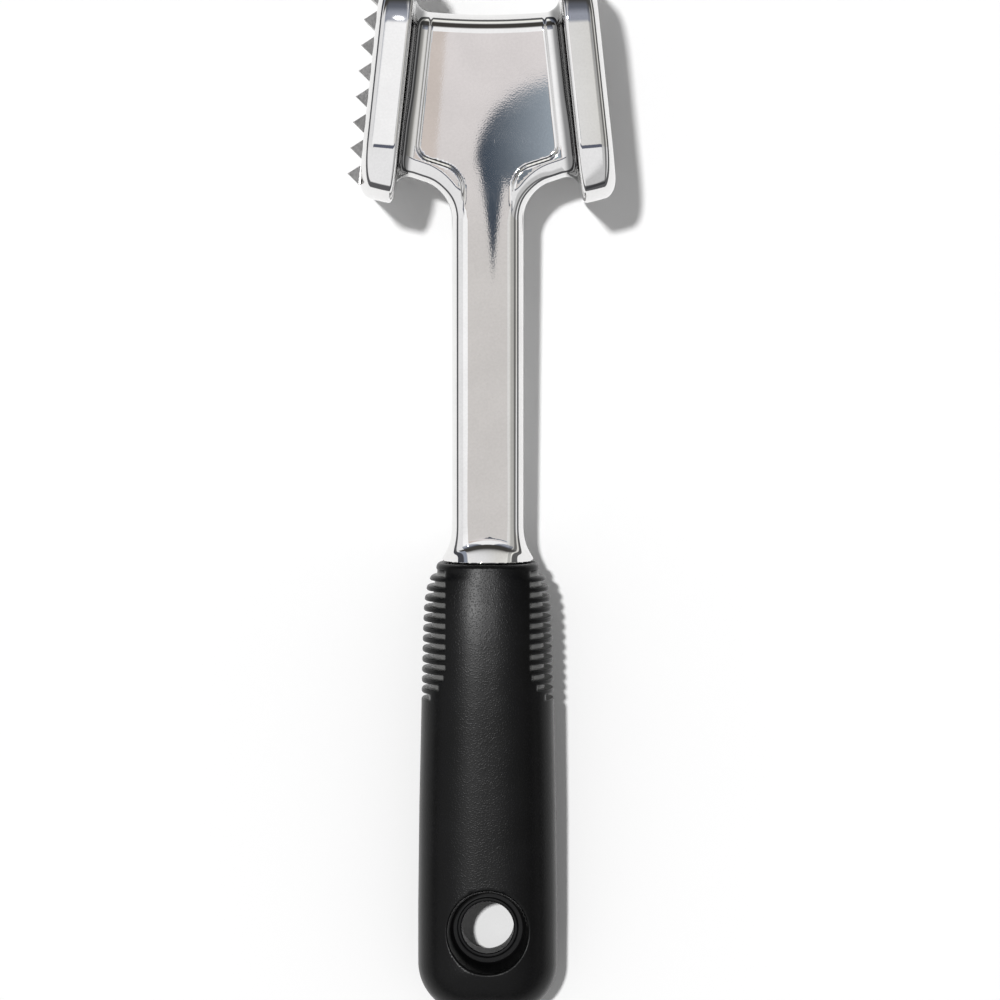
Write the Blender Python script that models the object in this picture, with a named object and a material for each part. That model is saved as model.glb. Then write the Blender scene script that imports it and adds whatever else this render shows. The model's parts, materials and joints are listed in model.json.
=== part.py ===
"""Meat mallet lying on its side: a one-piece aluminium casting in a two-shot handle.

Everything is modelled in the tool's own frame and hangs on one empty, which lays it down.
Tool frame: Y = 0 at the middle of the head, +Y away from the handle, X from plate to plate,
Z through the thickness. All lengths are in metres.
"""
import math

import bmesh
import bpy
import numpy as np
from mathutils import Matrix, Vector

# General clearances and counts
seam_gap = 0.0003            # between two pieces that touch
cut_overrun = 0.002          # how far a cutter runs past what it cuts
bury = 0.0006                # how deep one casting form starts inside the next
corner_steps = 5             # faces in a quarter turn of a rounded outline

# Striking plates
plate_length = 0.0575        # along the tool
plate_depth = 0.052          # from the side it lies on to the upper side
plate_thickness = 0.0085
plate_corner = 0.0115        # rounding of the plate's outline
plate_outer_rim = 0.0033     # fillet round the striking face
plate_inner_rim = 0.0012     # fillet round the inner face
face_span = 0.0563           # from striking face to striking face, at the middle
plate_splay = math.radians(6.2)

# Studs on one striking face
stud_pitch = 0.00615
stud_base = 0.0047
stud_height = 0.0027
stud_shift = 0.00045         # the whole pattern sits this much towards the handle
stud_rows = 8
stud_columns = 7

# Web between the plates
web_far_reach = 0.0166       # from the head's middle to the far edge of the web, at its centre
web_far_rise = 0.0012        # the far edge stands this much higher at the plates
web_near_reach = 0.0260      # from the head's middle to where the near edge meets the shaft's side
web_near_slope = math.radians(18.5)
web_thickness = 0.0134       # over the raised rims
web_edge = 0.0048            # its far and near edges are almost half round
web_edge_steps = 4
web_corner = 0.0032          # fillet between the web's edge and a plate
shoulder_radius = 0.0063     # fillet between the web's near edge and the shaft
far_rim_width = 0.0049
near_rim_width = 0.0055
root_fillet = 0.0038         # concave strip between the web's faces and a plate
side_bead_inset = 0.0043     # from the plate's inner face to the recessed panel
pocket_corner = 0.0020
panel_thickness = 0.0122
rim_fade = 0.0060            # length over which the near rims run out on the shaft

# Shaft, flare and tang
shaft_width = 0.01735
shaft_thickness = 0.0120
shaft_edge = 0.0039
shaft_root_thickness = 0.0110   # the shaft starts this thick, buried inside the web
shaft_root_inset = 0.0005    # and this much slimmer on each side
shaft_root_length = 0.0100
head_to_handle = 0.1164      # from the head's middle to the handle's upper end
flare_length = 0.0092
flare_power = 2.6
collar_width = 0.0235
collar_thickness = 0.0190
collar_edge = 0.0075
collar_land = 0.0006         # straight length at the end of the flare
flare_steps = 7
tang_width = 0.0140
tang_thickness = 0.0080
tang_edge = 0.0012
tang_length = 0.0700
tang_hole_radius = 0.0025
tang_hole_shares = (0.30, 0.72)   # places of the cross holes along the tang

# Handle core
core_width = 0.0210
core_thickness = 0.0190
core_neck_width = 0.0182
core_neck_thickness = 0.0150
core_neck_length = 0.0060
core_edge = 0.0038
eye_to_end = 0.0215          # from the hanging hole's axis to the handle's end
eye_bore_radius = 0.0067
eye_outer_radius = 0.0120
eye_thickness = 0.0080
eye_chamfer = 0.0010
core_taper_length = 0.0090   # length over which the bar thins to the eye
core_taper_start = 0.0200    # from the hole's axis to where the thinning starts

# Rubber grip
handle_length = 0.1107
grip_top_width = 0.0236
grip_collar_width = 0.0254
grip_collar_height = 0.0025
grip_fin_top_width = 0.0282
grip_fin_width = 0.0323      # over the tips of the last fins
grip_body_width = 0.0341
grip_top_thickness = 0.0205
grip_collar_thickness = 0.0222
grip_body_thickness = 0.0270
grip_top_round = 0.0010
grip_butt_round = 0.0126
section_power = 2.5          # 2 is an ellipse, more is squarer
section_points = 40
butt_steps = 6

# Fins on the sides of the grip
fin_count = 12
fin_pitch = 0.0025
first_fin_offset = 0.0036    # from the handle's upper end to the first fin's middle
groove_tip_gap = 0.00135
groove_root_gap = 0.0012
groove_depth = 0.0022
groove_front_depth = 0.0005  # how far the groove's floor lies under the front's crown
panel_width = 0.0206         # smooth panel between the fins
panel_bow = 0.0037           # the panel widens by this at the last groove
panel_bow_length = 0.0078

# Hanging hole in the rubber
hole_mouth_radius = 0.01025
hole_throat_radius = 0.0083
round_segments = 36

# Places that follow from the sizes above
shaft_half = shaft_width / 2
inner_face_x = face_span / 2 - plate_thickness / math.cos(plate_splay)
handle_top_y = -head_to_handle
handle_end_y = handle_top_y - handle_length
eye_y = handle_end_y + eye_to_end
collar_end_y = handle_top_y + seam_gap
tang_end_y = collar_end_y - tang_length


# Scene, collections and materials

def clear_scene():
    """Remove every object that the open file holds."""
    for old in list(bpy.data.objects):
        bpy.data.objects.remove(old, do_unlink=True)


def new_collection(name):
    collection = bpy.data.collections.new(name)
    bpy.context.scene.collection.children.link(collection)
    return collection


def new_material(name, color, roughness, metallic):
    material = bpy.data.materials.new(name)
    material.use_nodes = True
    shader = material.node_tree.nodes["Principled BSDF"]
    shader.inputs["Base Color"].default_value = (*color, 1)
    shader.inputs["Roughness"].default_value = roughness
    shader.inputs["Metallic"].default_value = metallic
    return material


clear_scene()
parts = new_collection("meat_mallet")
cutters = new_collection("cutters")
lying_pose = bpy.data.objects.new("lying_pose", None)
parts.objects.link(lying_pose)


# Mesh helpers

def add_object(name, mesh, collection):
    """Link a mesh under the empty that lays the tool down."""
    thing = bpy.data.objects.new(name, mesh)
    collection.objects.link(thing)
    thing.parent = lying_pose
    if collection is cutters:
        thing.hide_render = True
        thing.display_type = "WIRE"
    return thing


def mesh_from(name, shape):
    """Turn a bmesh into a mesh whose faces point out."""
    bmesh.ops.recalc_face_normals(shape, faces=shape.faces)
    mesh = bpy.data.meshes.new(name)
    shape.to_mesh(mesh)
    shape.free()
    return mesh


def loft(name, rings, collection):
    """Skin a row of closed rings, each an array of points, and cap both ends."""
    shape = bmesh.new()
    rows = [[shape.verts.new(point) for point in ring] for ring in rings]
    for near, far in zip(rows, rows[1:]):
        for i in range(len(near)):
            j = (i + 1) % len(near)
            shape.faces.new((near[i], near[j], far[j], far[i]))
    shape.faces.new(rows[0])
    shape.faces.new(rows[-1])
    return add_object(name, mesh_from(name, shape), collection)


def prism(name, outline, half_height, collection):
    """Extrude a flat outline in X and Y to both sides of its plane."""
    curve = bpy.data.curves.new(name, "CURVE")
    curve.dimensions = "2D"
    curve.fill_mode = "BOTH"
    curve.extrude = half_height
    spline = curve.splines.new("POLY")
    spline.points.add(len(outline) - 1)
    for point, place in zip(spline.points, outline):
        point.co = (place[0], place[1], 0, 1)
    spline.use_cyclic_u = True
    flat = bpy.data.objects.new(name, curve)
    collection.objects.link(flat)
    graph = bpy.context.evaluated_depsgraph_get()
    mesh = bpy.data.meshes.new_from_object(flat.evaluated_get(graph))
    bpy.data.objects.remove(flat, do_unlink=True)
    shape = bmesh.new()
    shape.from_mesh(mesh)
    bpy.data.meshes.remove(mesh)
    bmesh.ops.remove_doubles(shape, verts=shape.verts, dist=bury / round_segments)
    return add_object(name, mesh_from(name, shape), collection)


def cylinder(name, radius_low, radius_high, low_z, high_z, collection):
    """A cone or cylinder along Z between two heights."""
    shape = bmesh.new()
    bmesh.ops.create_cone(shape, cap_ends=True, segments=round_segments, radius1=radius_low,
                          radius2=radius_high, depth=high_z - low_z,
                          matrix=Matrix.Translation((0, 0, (low_z + high_z) / 2)))
    return add_object(name, mesh_from(name, shape), collection)


def combine(target, other, operation):
    """Add a Boolean modifier."""
    step = target.modifiers.new(f"{operation.lower()}_{other.name}", "BOOLEAN")
    step.operation = operation
    step.solver = "EXACT"
    step.object = other


# Outlines and sections

def rounded_outline(corners):
    """Replace each corner (x, y, radius) by an arc that is tangent to both its sides."""
    points = []
    count = len(corners)
    for i, (x, y, radius) in enumerate(corners):
        here = Vector((x, y))
        if radius == 0:
            points.append(tuple(here))
            continue
        before = (Vector(corners[i - 1][:2]) - here).normalized()
        after = (Vector(corners[(i + 1) % count][:2]) - here).normalized()
        half_angle = before.angle(after) / 2
        centre = here + (before + after).normalized() * (radius / math.sin(half_angle))
        start = here + before * (radius / math.tan(half_angle)) - centre
        end = here + after * (radius / math.tan(half_angle)) - centre
        turn = start.angle_signed(end)
        for k in range(corner_steps + 1):
            spin = Matrix.Rotation(-turn * k / corner_steps, 2)
            points.append(tuple(centre + spin @ start))
    return points


def rounded_ring(y, width, thickness, edge):
    """A rounded rectangle across the tool at one place along it."""
    ring = []
    for quarter in range(4):
        sign_x = 1 if quarter in (0, 3) else -1
        sign_z = 1 if quarter in (0, 1) else -1
        centre_x = sign_x * (width / 2 - edge)
        centre_z = sign_z * (thickness / 2 - edge)
        for k in range(corner_steps + 1):
            angle = (quarter + k / corner_steps) * math.pi / 2
            ring.append((centre_x + edge * math.cos(angle), y, centre_z + edge * math.sin(angle)))
    return ring


def oval_ring(y, width, thickness):
    """A superellipse across the tool at one place along it."""
    angle = np.linspace(0, 2 * math.pi, section_points, endpoint=False)
    power = 2 / section_power
    x = width / 2 * np.sign(np.cos(angle)) * np.abs(np.cos(angle)) ** power
    z = thickness / 2 * np.sign(np.sin(angle)) * np.abs(np.sin(angle)) ** power
    return [(float(a), y, float(b)) for a, b in zip(x, z)]


def inner_face_at(y):
    """Where the inner face of the +X plate lies at one place along the tool."""
    return inner_face_x - y * math.tan(plate_splay)


# Casting: striking plates

def bevel_edges(shape, edges, radius, steps):
    bmesh.ops.bevel(shape, geom=edges, offset=radius, segments=steps, profile=0.5,
                    affect="EDGES", clamp_overlap=True)


def plate(side):
    """One plate: a block whose outline and rims are rounded, then splayed and set in place."""
    name = "smooth_plate" if side > 0 else "studded_plate"
    shape = bmesh.new()
    bmesh.ops.create_cube(shape, size=1)
    bmesh.ops.scale(shape, verts=shape.verts, vec=(plate_thickness, plate_length, plate_depth))
    corners = [e for e in shape.edges if abs((e.verts[0].co - e.verts[1].co).x) > plate_thickness / 2]
    bevel_edges(shape, corners, plate_corner, corner_steps)
    for direction, radius in ((side, plate_outer_rim), (-side, plate_inner_rim)):
        face = max(shape.faces, key=lambda f: f.normal.x * direction * f.calc_area())
        bevel_edges(shape, list(face.edges), radius, 3)
    reach = face_span / 2 - plate_thickness / 2 / math.cos(plate_splay)
    place = Matrix.Translation((side * reach, 0, 0)) @ Matrix.Rotation(side * plate_splay, 4, "Z")
    shape.transform(place)
    return add_object(name, mesh_from(name, shape), cutters)


def studs():
    """Rows of four-sided points with 90 degree flanks on the -X striking face."""
    shape = bmesh.new()
    half_base = stud_base / 2 + bury / 2
    depth = stud_height + bury / 2
    upright = Matrix.Rotation(-math.pi / 2, 4, "Y") @ Matrix.Translation((0, 0, depth / 2 - bury / 2))
    for row in range(stud_rows):
        for column in range(stud_columns):
            y = (row - (stud_rows - 1) / 2) * stud_pitch - stud_shift
            z = (column - (stud_columns - 1) / 2) * stud_pitch
            place = Matrix.Translation((0, y, z)) @ upright @ Matrix.Rotation(math.pi / 4, 4, "Z")
            bmesh.ops.create_cone(shape, cap_ends=True, segments=4, radius1=half_base * math.sqrt(2),
                                  radius2=0, depth=depth, matrix=place)
    shape.transform(Matrix.Translation((-face_span / 2, 0, 0)) @ Matrix.Rotation(-plate_splay, 4, "Z"))
    return add_object("studs", mesh_from("studs", shape), cutters)


# Casting: web

def mirrored(half):
    """Close a half outline, given from the far edge round to the near one, with its mirror image."""
    return half + [(-x, y, radius) for x, y, radius in reversed(half)]


def near_edge_at(x, inset):
    """The web's near edge, moved into the web by an inset."""
    climb = (x - shaft_half) * math.tan(web_near_slope)
    return -web_near_reach + climb + inset / math.cos(web_near_slope)


def web_outline():
    """The web with its fillets to the plates and to the shaft."""
    far_y = web_far_reach + web_far_rise
    far_x = inner_face_at(far_y) + bury
    far_top = far_y + web_corner + bury
    near_corner_x = inner_face_at(near_edge_at(inner_face_x, 0)) + bury
    near_corner_y = near_edge_at(near_corner_x, 0)
    near_low = near_corner_y - web_corner - bury
    end_y = -web_near_reach - rim_fade
    bow_shares = (0.25, 0.5, 0.75)
    half = [(far_x * share, web_far_reach + web_far_rise * share ** 2, 0) for share in bow_shares]
    half.append((far_x, far_y, web_corner))
    half.append((inner_face_at(far_top) + bury, far_top, 0))
    half.append((inner_face_at(far_top) + plate_thickness / 2, far_top, 0))
    half.append((inner_face_at(near_low) + plate_thickness / 2, near_low, 0))
    half.append((inner_face_at(near_low) + bury, near_low, 0))
    half.append((near_corner_x, near_corner_y, web_corner))
    half.append((shaft_half, -web_near_reach, shoulder_radius))
    half.append((shaft_half, end_y, 0))
    return rounded_outline([(0, web_far_reach, 0)] + mirrored(half))


def pocket_outline():
    """The recessed panel inside the rims, open towards the shaft."""
    far_y = web_far_reach - far_rim_width
    side_far_x = inner_face_at(far_y) - side_bead_inset
    side_near_x = inner_face_at(near_edge_at(inner_face_x, near_rim_width)) - side_bead_inset
    throat = shaft_half - shaft_edge + bury
    throat_y = near_edge_at(throat, near_rim_width)
    end_y = -web_near_reach - rim_fade - cut_overrun
    half = [
        (side_far_x, far_y + web_far_rise / 2, pocket_corner),
        (side_near_x, near_edge_at(side_near_x, near_rim_width), pocket_corner),
        (throat, throat_y, shoulder_radius / 2),
        (throat, end_y, 0),
    ]
    return rounded_outline([(0, far_y, 0)] + mirrored(half))


def web():
    """The web: round edges, a recessed panel on both sides, ramps onto the shaft."""
    body = prism("web", web_outline(), web_thickness / 2, cutters)
    shape = bmesh.new()
    shape.from_mesh(body.data)
    rims = [e for e in shape.edges if abs((e.verts[0].co - e.verts[1].co).z) < bury
            and abs(e.verts[0].co.z) > web_thickness / 2 - bury and e.calc_face_angle(0) > 1]
    bevel_edges(shape, rims, web_edge, web_edge_steps)
    shape.to_mesh(body.data)
    shape.free()
    for side, word in ((1, "front"), (-1, "back")):
        pocket = prism(f"{word}_pocket", pocket_outline(), web_thickness / 2, cutters)
        pocket.location.z = side * (panel_thickness + web_thickness) / 2
        combine(body, pocket, "DIFFERENCE")
        start_y = -web_near_reach + rim_fade / 3
        end_y = -web_near_reach - rim_fade - cut_overrun
        ramp = prism(f"{word}_ramp", [
            (start_y, side * web_thickness / 2),
            (-web_near_reach - rim_fade, side * (shaft_thickness / 2 - bury)),
            (end_y, side * (shaft_thickness / 2 - bury)),
            (end_y, side * web_thickness),
            (start_y, side * web_thickness),
        ], shaft_width, cutters)
        turn = Matrix(((0, 0, 1, 0), (1, 0, 0, 0), (0, 1, 0, 0), (0, 0, 0, 1)))
        ramp.data.transform(turn)
        combine(body, ramp, "DIFFERENCE")
    return body


def root_fillets():
    """Concave strips where the web meets the plates' inner faces, lower over its round edges."""
    near_y = near_edge_at(inner_face_x - root_fillet, 0)
    drops = []
    for k in range(web_edge_steps + 1):
        angle = k / web_edge_steps * math.pi / 2
        drops.append((web_edge * (1 - math.cos(angle)), web_edge * (1 - math.sin(angle))))
    stations = [(near_y + inward, drop) for inward, drop in drops]
    stations += [(web_far_reach - inward, drop) for inward, drop in reversed(drops)]
    corner = [(-bury, root_fillet), (-bury, -bury), (root_fillet, -bury)]
    for k in range(corner_steps + 1):
        angle = k / corner_steps * math.pi / 2
        corner.append((root_fillet * (1 - math.sin(angle)), root_fillet * (1 - math.cos(angle))))
    strips = []
    for side in (1, -1):
        for face in (1, -1):
            rings = [[(side * (inner_face_at(y) - u), y, face * (web_thickness / 2 - drop + v))
                      for u, v in corner] for y, drop in stations]
            strips.append(loft(f"root_fillet_{len(strips)}", rings, cutters))
    return strips


# Casting: shaft, flare and tang

def shaft():
    """One loft from inside the web to the end of the tang."""
    root_y = -web_near_reach + shaft_root_length
    full_y = -web_near_reach - rim_fade
    slim = 2 * shaft_root_inset
    rings = [
        rounded_ring(root_y, shaft_width - slim, shaft_root_thickness, shaft_edge - shaft_root_inset),
        rounded_ring(full_y, shaft_width, shaft_thickness, shaft_edge),
    ]
    flare_start_y = collar_end_y + collar_land + flare_length
    for k in range(flare_steps + 1):
        share = k / flare_steps
        swell = share ** flare_power
        rings.append(rounded_ring(flare_start_y - flare_length * share,
                                  shaft_width + (collar_width - shaft_width) * swell,
                                  shaft_thickness + (collar_thickness - shaft_thickness) * swell,
                                  shaft_edge + (collar_edge - shaft_edge) * swell))
    rings.append(rounded_ring(collar_end_y, collar_width, collar_thickness, collar_edge))
    rings.append(rounded_ring(collar_end_y, tang_width, tang_thickness, tang_edge))
    rings.append(rounded_ring(tang_end_y, tang_width, tang_thickness, tang_edge))
    return loft("shaft", rings, cutters)


def tang_hole(share, radius, name):
    """A round cutter through the tang at a share of its length."""
    hole = cylinder(name, radius, radius, -tang_thickness, tang_thickness, cutters)
    hole.location.y = collar_end_y - tang_length * share
    return hole


def casting(material):
    """Head, shaft and tang in one piece."""
    body = add_object("cast_head_and_shaft", plate(1).data.copy(), parts)
    for form in (web(), plate(-1), *root_fillets(), shaft(), studs()):
        combine(body, form, "UNION")
    for share in tang_hole_shares:
        hole = tang_hole(share, tang_hole_radius, f"tang_hole_{round(share * 100)}")
        combine(body, hole, "DIFFERENCE")
    body.data.materials.append(material)
    return body


# Handle core

def core_body(name, grow, collection):
    """The bar and its eye, grown all round, for the core itself and for the rubber's cavity."""
    taper_start_y = eye_y + core_taper_start
    taper_end_y = taper_start_y - core_taper_length
    wide = 2 * grow
    rings = [
        rounded_ring(handle_top_y + grow, core_neck_width + wide, core_neck_thickness + wide, core_edge),
        rounded_ring(handle_top_y - core_neck_length, core_neck_width + wide,
                     core_neck_thickness + wide, core_edge),
        rounded_ring(handle_top_y - 2 * core_neck_length, core_width + wide,
                     core_thickness + wide, core_edge),
        rounded_ring(taper_start_y, core_width + wide, core_thickness + wide, core_edge),
        rounded_ring(taper_end_y, core_width + wide, eye_thickness + wide, core_edge),
        rounded_ring(eye_y, core_width + wide, eye_thickness + wide, core_edge),
    ]
    bar = loft(name, rings, collection)
    half_eye = eye_thickness / 2 + grow + bury / 2
    eye = cylinder(f"{name}_eye", eye_outer_radius + grow, eye_outer_radius + grow,
                   -half_eye, half_eye, cutters)
    eye.location.y = eye_y
    combine(bar, eye, "UNION")
    return bar


def tang_cavity():
    """Room for the tang, with a plug left standing in each of its cross holes."""
    wide = 2 * seam_gap
    cavity = loft("tang_cavity", [
        rounded_ring(handle_top_y + cut_overrun, tang_width + wide, tang_thickness + wide, tang_edge),
        rounded_ring(tang_end_y - seam_gap, tang_width + wide, tang_thickness + wide, tang_edge),
    ], cutters)
    for share in tang_hole_shares:
        plug = tang_hole(share, tang_hole_radius - seam_gap, f"tang_plug_{round(share * 100)}")
        combine(cavity, plug, "DIFFERENCE")
    return cavity


def handle_core(material):
    """The hard bar round the tang, with the bored eye."""
    core = core_body("handle_core", 0, parts)
    combine(core, tang_cavity(), "DIFFERENCE")
    bore = cylinder("eye_bore", eye_bore_radius, eye_bore_radius, -eye_thickness, eye_thickness, cutters)
    bore.location.y = eye_y
    combine(core, bore, "DIFFERENCE")
    half_eye = eye_thickness / 2 + bury / 2
    for side, word in ((1, "front"), (-1, "back")):
        low = half_eye - eye_chamfer
        high = half_eye + cut_overrun
        wide = eye_bore_radius + eye_chamfer + cut_overrun
        ends = (eye_bore_radius, wide) if side > 0 else (wide, eye_bore_radius)
        chamfer = cylinder(f"eye_{word}_chamfer", *ends, min(side * low, side * high),
                           max(side * low, side * high), cutters)
        chamfer.location.y = eye_y
        combine(core, chamfer, "DIFFERENCE")
    core.data.materials.append(material)
    return core


# Rubber grip

def last_groove_y():
    return handle_top_y - first_fin_offset - (fin_count - 0.5) * fin_pitch


def grip_stations():
    """Place, width and thickness of the grip's sections, from its upper end to its butt."""
    fins_end_y = last_groove_y() - fin_pitch / 2
    collar_low_y = handle_top_y - grip_collar_height
    fin_first_y = handle_top_y - first_fin_offset
    stations = []
    for k in range(4):
        angle = k / 3 * math.pi / 2
        inset = grip_top_round * (1 - math.sin(angle))
        stations.append((handle_top_y - grip_top_round * (1 - math.cos(angle)),
                         grip_top_width - 2 * inset, grip_top_thickness - 2 * inset))
    stations.append((collar_low_y, grip_collar_width, grip_collar_thickness))
    swell_shares = ((0, 0), (0.08, 0.36), (0.18, 0.6), (0.32, 0.78), (0.55, 0.9), (0.8, 0.96), (1, 1))
    for along, swell in swell_shares:
        stations.append((fin_first_y + (fins_end_y - fin_first_y) * along,
                         grip_fin_top_width + (grip_fin_width - grip_fin_top_width) * swell,
                         grip_collar_thickness + (grip_body_thickness - grip_collar_thickness) * swell))
    round_start_y = handle_end_y + grip_butt_round
    body_swell_shares = ((0.3, 0.45), (0.65, 0.85), (1, 1))
    for along, swell in body_swell_shares:
        stations.append((fins_end_y + (round_start_y - fins_end_y) * along,
                         grip_fin_width + (grip_body_width - grip_fin_width) * swell,
                         grip_body_thickness))
    for k in range(1, butt_steps + 1):
        angle = k / butt_steps * math.pi / 2
        inset = grip_butt_round * (1 - math.cos(angle))
        stations.append((round_start_y - grip_butt_round * math.sin(angle),
                         grip_body_width - 2 * inset, grip_body_thickness - 2 * inset))
    return stations


def groove_floor():
    """The body that is left between the fins."""
    rings = []
    for y, width, thickness in grip_stations():
        if y > last_groove_y() - 2 * fin_pitch:
            rings.append(oval_ring(y, width - 2 * groove_depth, thickness - 2 * groove_front_depth))
    rings.insert(0, [(x, y + cut_overrun, z) for x, y, z in rings[0]])
    return loft("groove_floor", rings, cutters)


def groove_slots():
    """One wedge for each groove on each side, wide outside and narrow at its root."""
    shape = bmesh.new()
    outer = grip_body_width / 2 + cut_overrun
    for k in range(fin_count + 1):
        y = handle_top_y - first_fin_offset - (k - 0.5) * fin_pitch
        bow_share = max(0, (last_groove_y() + panel_bow_length - y) / panel_bow_length)
        inner = panel_width / 2 + panel_bow * bow_share ** 2
        spread = (groove_tip_gap - groove_root_gap) / groove_depth
        for side in (1, -1):
            block = bmesh.ops.create_cube(shape, size=1)["verts"]
            for vert in block:
                outside = vert.co.x > 0
                reach = outer if outside else inner
                tip_x = grip_fin_width / 2
                gap = groove_tip_gap + spread * (reach - tip_x)
                gap = max(gap, groove_root_gap)
                vert.co = (side * reach, y + vert.co.y * gap, vert.co.z * 2 * grip_body_thickness)
    return add_object("groove_slots", mesh_from("groove_slots", shape), cutters)


def rubber_grip(material):
    """The soft sleeve: oval body, fins, cavity for the core and the hanging hole."""
    rings = [oval_ring(*station) for station in grip_stations()]
    grip = loft("rubber_grip", rings, parts)
    slots = groove_slots()
    combine(slots, groove_floor(), "DIFFERENCE")
    combine(grip, slots, "DIFFERENCE")
    cavity = core_body("core_cavity", seam_gap, cutters)
    combine(grip, cavity, "DIFFERENCE")
    low = eye_thickness / 2 - bury
    crown = grip_body_thickness / 2
    slope = (hole_mouth_radius - hole_throat_radius) / (crown - low)
    for side, word in ((1, "front"), (-1, "back")):
        wide = hole_mouth_radius + slope * cut_overrun
        ends = (hole_throat_radius, wide) if side > 0 else (wide, hole_throat_radius)
        span = sorted((side * low, side * (crown + cut_overrun)))
        funnel = cylinder(f"hole_{word}_funnel", *ends, *span, cutters)
        funnel.location.y = eye_y
        combine(grip, funnel, "DIFFERENCE")
    grip.data.materials.append(material)
    return grip


# Lying pose: both plates and the butt touch the table

def points_of(thing):
    return np.array([vert.co for vert in thing.data.vertices])


def laid(points, tilt):
    """Turn points about X, the head end up."""
    turned = points.copy()
    turned[:, 1] = points[:, 1] * math.cos(tilt) - points[:, 2] * math.sin(tilt)
    turned[:, 2] = points[:, 1] * math.sin(tilt) + points[:, 2] * math.cos(tilt)
    return turned


def lay_down(casting_points, grip_points):
    """Find the tilt at which head and butt are equally low, then centre the tool on the origin."""
    low_tilt = 0
    high_tilt = math.radians(10)
    butt = grip_points[grip_points[:, 1] < eye_y]
    for _ in range(40):
        tilt = (low_tilt + high_tilt) / 2
        if laid(casting_points, tilt)[:, 2].min() < laid(butt, tilt)[:, 2].min():
            low_tilt = tilt
        else:
            high_tilt = tilt
    everything = laid(np.vstack((casting_points, grip_points)), tilt)
    low = everything.min(axis=0)
    high = everything.max(axis=0)
    lying_pose.rotation_euler.x = tilt
    lying_pose.location = (-(low[0] + high[0]) / 2, -(low[1] + high[1]) / 2, -low[2])


aluminium = new_material("polished_aluminium", (0.78, 0.77, 0.76), 0.14, 1)
hard_plastic = new_material("black_hard_plastic", (0.018, 0.018, 0.019), 0.42, 0)
rubber = new_material("black_soft_rubber", (0.024, 0.024, 0.026), 0.72, 0)

casting(aluminium)
handle_core(hard_plastic)
grip_object = rubber_grip(rubber)
head_forms = [points_of(cutters.objects[name]) for name in ("studded_plate", "smooth_plate", "studs")]
lay_down(np.vstack(head_forms), points_of(grip_object))

for piece in parts.objects:
    if piece.type == "MESH":
        piece.data.shade_smooth()
        piece.data.set_sharp_from_angle(angle=math.radians(35))
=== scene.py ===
"""Meat mallet: the finish of the one-piece aluminium casting and its soft handle."""

import json
import math

import bpy
import numpy as np
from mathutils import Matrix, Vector


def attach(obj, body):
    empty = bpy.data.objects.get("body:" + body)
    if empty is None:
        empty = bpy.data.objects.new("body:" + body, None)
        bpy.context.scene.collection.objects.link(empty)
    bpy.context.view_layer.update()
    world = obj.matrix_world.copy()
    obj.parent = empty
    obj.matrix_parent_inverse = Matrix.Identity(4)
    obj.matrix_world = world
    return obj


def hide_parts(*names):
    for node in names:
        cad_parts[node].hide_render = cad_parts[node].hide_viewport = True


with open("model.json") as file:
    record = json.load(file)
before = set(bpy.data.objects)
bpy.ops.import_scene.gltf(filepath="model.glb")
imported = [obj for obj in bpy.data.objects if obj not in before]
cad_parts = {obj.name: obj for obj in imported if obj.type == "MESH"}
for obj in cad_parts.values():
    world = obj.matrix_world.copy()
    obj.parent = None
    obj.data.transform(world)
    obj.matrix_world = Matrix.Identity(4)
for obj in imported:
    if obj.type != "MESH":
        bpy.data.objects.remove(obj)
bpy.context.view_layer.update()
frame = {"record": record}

# How the mallet lies
# It rests on both plates and on its butt, so the whole tool is tipped with its head up.
# The smooth face's mount says where the head's middle is and how far it is tipped.
face_span = 0.0563
plate_splay = math.radians(6.2)

smooth_face = frame["record"]["mounts"][0]
lying_tilt = math.atan2(smooth_face["axis"][2], smooth_face["axis"][1])
head_middle = np.array(smooth_face["pos_m"]) - (face_span / 2, 0, 0)


def lay(points):
    """Tool frame to row frame: turn about X by the tilt, then move to the head's middle."""
    x, y, z = np.moveaxis(np.asarray(points, float), -1, 0)
    cos, sin = math.cos(lying_tilt), math.sin(lying_tilt)
    return np.stack((x, y * cos - z * sin, y * sin + z * cos), -1) + head_middle


def turn(directions):
    """The same turn for directions."""
    return lay(directions) - head_middle


# The casting
# Striking plates, web, shaft, flare and tang are one aluminium die casting, polished all over.
# Its forms run into each other in fillets, so it is one closed skin round a solid that is given
# by its distance: every form is a distance, and rounded sums of these make the fillets.
plate_length = 0.0575
plate_depth = 0.052
plate_thickness = 0.0085
plate_corner = (0.0150, 0.0100)   # along the tool and through its depth
plate_outer_rim = 0.0028
plate_inner_rim = 0.0011
plate_crown_radius = 0.060   # the plates' narrow sides slope down to the striking face
plate_crown_place = 0.0104   # and would be level this far behind it
inner_face = face_span / 2 - plate_thickness / math.cos(plate_splay)

web_far_reach = 0.0166
web_far_rise = 0.0012
web_near_reach = 0.0260
web_near_slope = math.radians(18.5)
web_half = 0.0067
web_edge = 0.0047            # the web's far and near edges are almost half round
web_near_squash = 0.3        # the near edge is this much tighter through the depth
front_crown_radius = 0.9     # buffing leaves the web's and shaft's faces slightly crowned
shoulder_radius = 0.0063
root_fillet = 0.0038
panel_sink = 0.0006          # the panel lies this much under the near rim and the side beads
rim_step = 0.0015            # width of the step from a rim down to the panel
near_rim_width = 0.0062
side_bead_inset = 0.0050
pocket_corner = 0.0020
throat_half = 0.0053
throat_fillet = 0.0045
rim_fade_start = -0.0245     # the near rim and the beads run out on the shaft between these
rim_fade_end = -0.0315

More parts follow.
